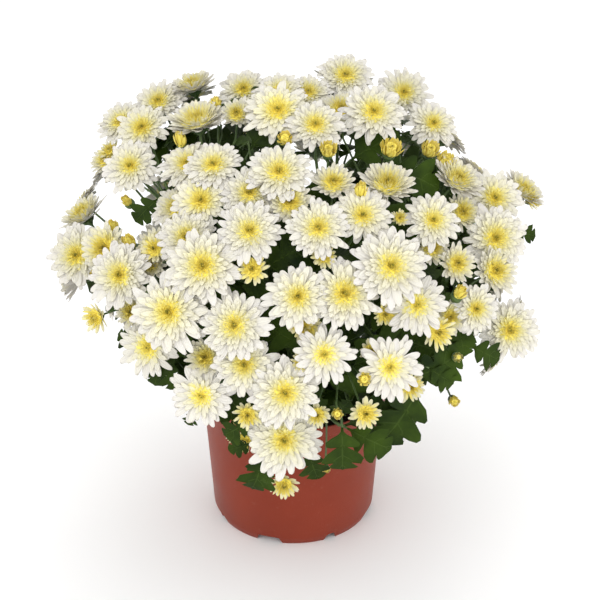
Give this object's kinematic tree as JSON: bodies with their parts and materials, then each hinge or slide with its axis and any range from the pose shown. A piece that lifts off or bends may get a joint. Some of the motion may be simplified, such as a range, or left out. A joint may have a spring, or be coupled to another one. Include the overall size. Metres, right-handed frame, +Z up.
{
  "type": "pot chrysanthemum",
  "caption": "Pot chrysanthemum with a dome of white, yellow-centred double blooms over lobed dark leaves, in a terracotta-coloured plastic nursery pot.",
  "frame": {"origin": "on the pot's axis, at the underside of its foot", "axes": "+Z up along the pot's axis, -Y towards the side that the plant shows to the front, +X to its right"},
  "size_m": [0.4104, 0.4146, 0.4096],
  "materials": {
    "pot": "satin moulded polypropylene, terracotta",
    "mix": "damp peat mix, crumbly",
    "stem": "finely ribbed green stem, satin",
    "leaf": "dark green leaf, satin, lighter veins",
    "bloom": "soft white petals, cream to yellow in the middle"
  },
  "bodies": {
    "root": {"cutting_1": "stem", "cutting_2": "stem", "cutting_3": "stem", "cutting_4": "stem", "cutting_5": "stem", "pot": "pot", "potting_mix": "mix", "bloom_01": "bloom", "bloom_02": "bloom", "bloom_03": "bloom", "bloom_04": "bloom", "bloom_05": "bloom", "bloom_06": "bloom", "bloom_07": "bloom", "bloom_08": "bloom", "bloom_09": "bloom", "bloom_10": "bloom", "bloom_11": "bloom", "bloom_12": "bloom", "bloom_13": "bloom", "bloom_14": "bloom", "bloom_15": "bloom", "bloom_16": "bloom", "bloom_17": "bloom", "bloom_18": "bloom", "bloom_19": "bloom", "bloom_20": "bloom", "bloom_21": "bloom", "bloom_22": "bloom", "bloom_23": "bloom", "bloom_24": "bloom", "bloom_25": "bloom", "bloom_26": "bloom", "bloom_27": "bloom", "bloom_28": "bloom", "bloom_29": "bloom", "bloom_30": "bloom", "bloom_31": "bloom", "bloom_32": "bloom", "bloom_33": "bloom", "bloom_34": "bloom", "bloom_35": "bloom", "bloom_36": "bloom", "bloom_37": "bloom", "bloom_38": "bloom", "bloom_39": "bloom", "bloom_40": "bloom", "bloom_41": "bloom", "bloom_42": "bloom", "bloom_43": "bloom", "leaf_01": "leaf", "leaf_02": "leaf", "leaf_03": "leaf", "leaf_04": "leaf", "leaf_05": "leaf", "leaf_06": "leaf", "leaf_07": "leaf", "leaf_08": "leaf", "leaf_09": "leaf", "leaf_10": "leaf"}
  },
  "joints": []
}
